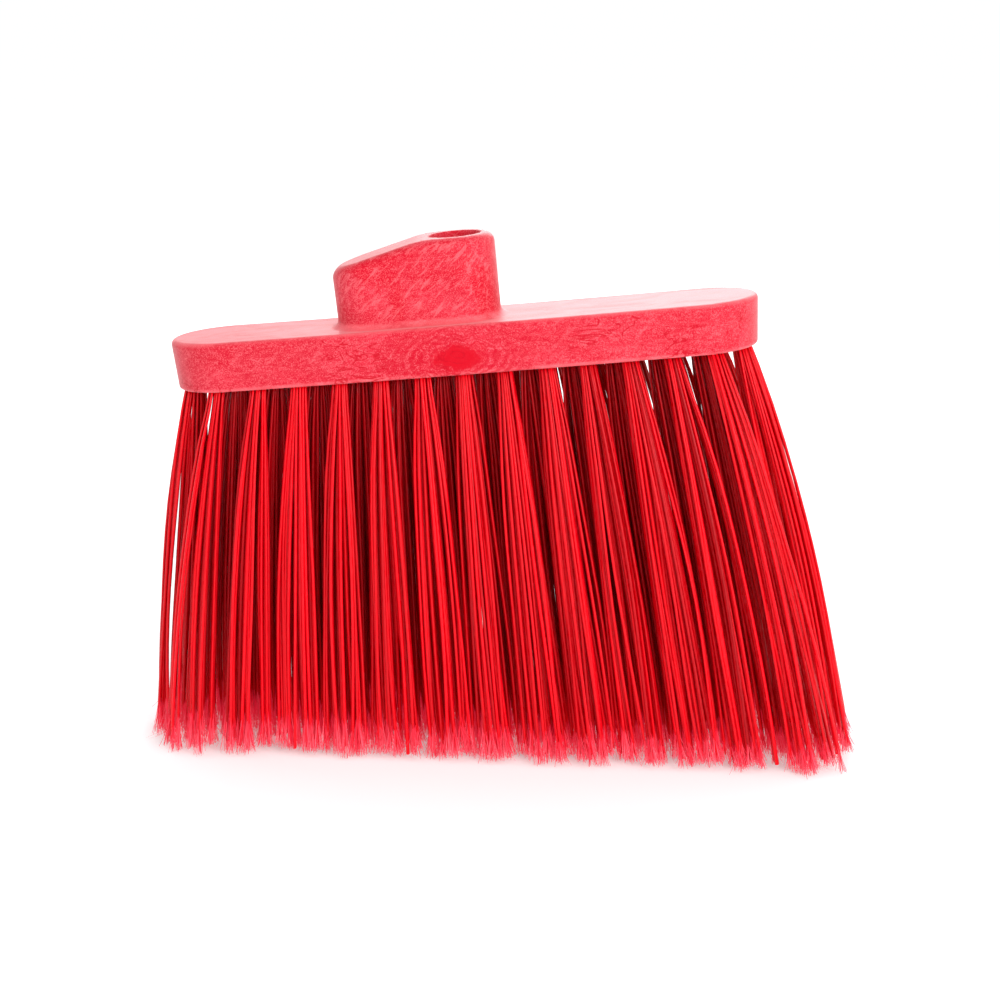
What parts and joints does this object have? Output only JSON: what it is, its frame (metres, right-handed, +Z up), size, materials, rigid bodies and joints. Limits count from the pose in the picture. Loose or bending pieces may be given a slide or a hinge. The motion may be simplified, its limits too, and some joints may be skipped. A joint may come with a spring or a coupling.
{
  "type": "angle broom head",
  "caption": "Upright angle broom head without its handle: a red moulded block with a threaded handle port in a boss, and fanned rows of flagged tufts trimmed at a slant.",
  "frame": {"origin": "middle of the head's outline on the floor, in the plane where the tufts are trimmed", "axes": "+X along the head towards its raised end, -Y its front, +Z up; the block is tilted 5.9 degrees about Y, so the trim lies flat on the floor"},
  "size_m": [0.3352, 0.0856, 0.2452],
  "materials": {
    "block": "moulded foamed plastic, fine speckle, slight sheen",
    "bristles": "extruded filament with lengthwise ridges",
    "flags": "split, frayed filament ends",
    "staples": "plain drawn wire"
  },
  "bodies": {
    "root": {"block": "block", "tuft_front_01": "bristles", "tuft_front_02": "bristles", "tuft_front_03": "bristles", "tuft_front_04": "bristles", "tuft_front_05": "bristles", "tuft_front_06": "bristles", "tuft_front_07": "bristles", "tuft_front_08": "bristles", "tuft_front_09": "bristles", "tuft_front_10": "bristles", "tuft_front_11": "bristles", "tuft_front_12": "bristles", "tuft_front_13": "bristles", "tuft_mid_front_01": "bristles", "tuft_mid_front_02": "bristles", "tuft_mid_front_03": "bristles", "tuft_mid_front_04": "bristles", "tuft_mid_front_05": "bristles", "tuft_mid_front_06": "bristles", "tuft_mid_front_07": "bristles", "tuft_mid_front_08": "bristles", "tuft_mid_front_09": "bristles", "tuft_mid_front_10": "bristles", "tuft_mid_front_11": "bristles", "tuft_mid_front_12": "bristles", "tuft_mid_front_13": "bristles", "tuft_mid_front_14": "bristles", "tuft_mid_back_01": "bristles", "tuft_mid_back_02": "bristles", "tuft_mid_back_03": "bristles", "tuft_mid_back_04": "bristles", "tuft_mid_back_05": "bristles", "tuft_mid_back_06": "bristles", "tuft_mid_back_07": "bristles", "tuft_mid_back_08": "bristles", "tuft_mid_back_09": "bristles", "tuft_mid_back_10": "bristles", "tuft_mid_back_11": "bristles", "tuft_mid_back_12": "bristles", "tuft_mid_back_13": "bristles", "tuft_mid_back_14": "bristles", "tuft_back_01": "bristles", "tuft_back_02": "bristles", "tuft_back_03": "bristles", "tuft_back_04": "bristles", "tuft_back_05": "bristles", "tuft_back_06": "bristles", "tuft_back_07": "bristles", "tuft_back_08": "bristles", "tuft_back_09": "bristles", "tuft_back_10": "bristles", "tuft_back_11": "bristles", "tuft_back_12": "bristles", "tuft_back_13": "bristles"}
  },
  "joints": []
}
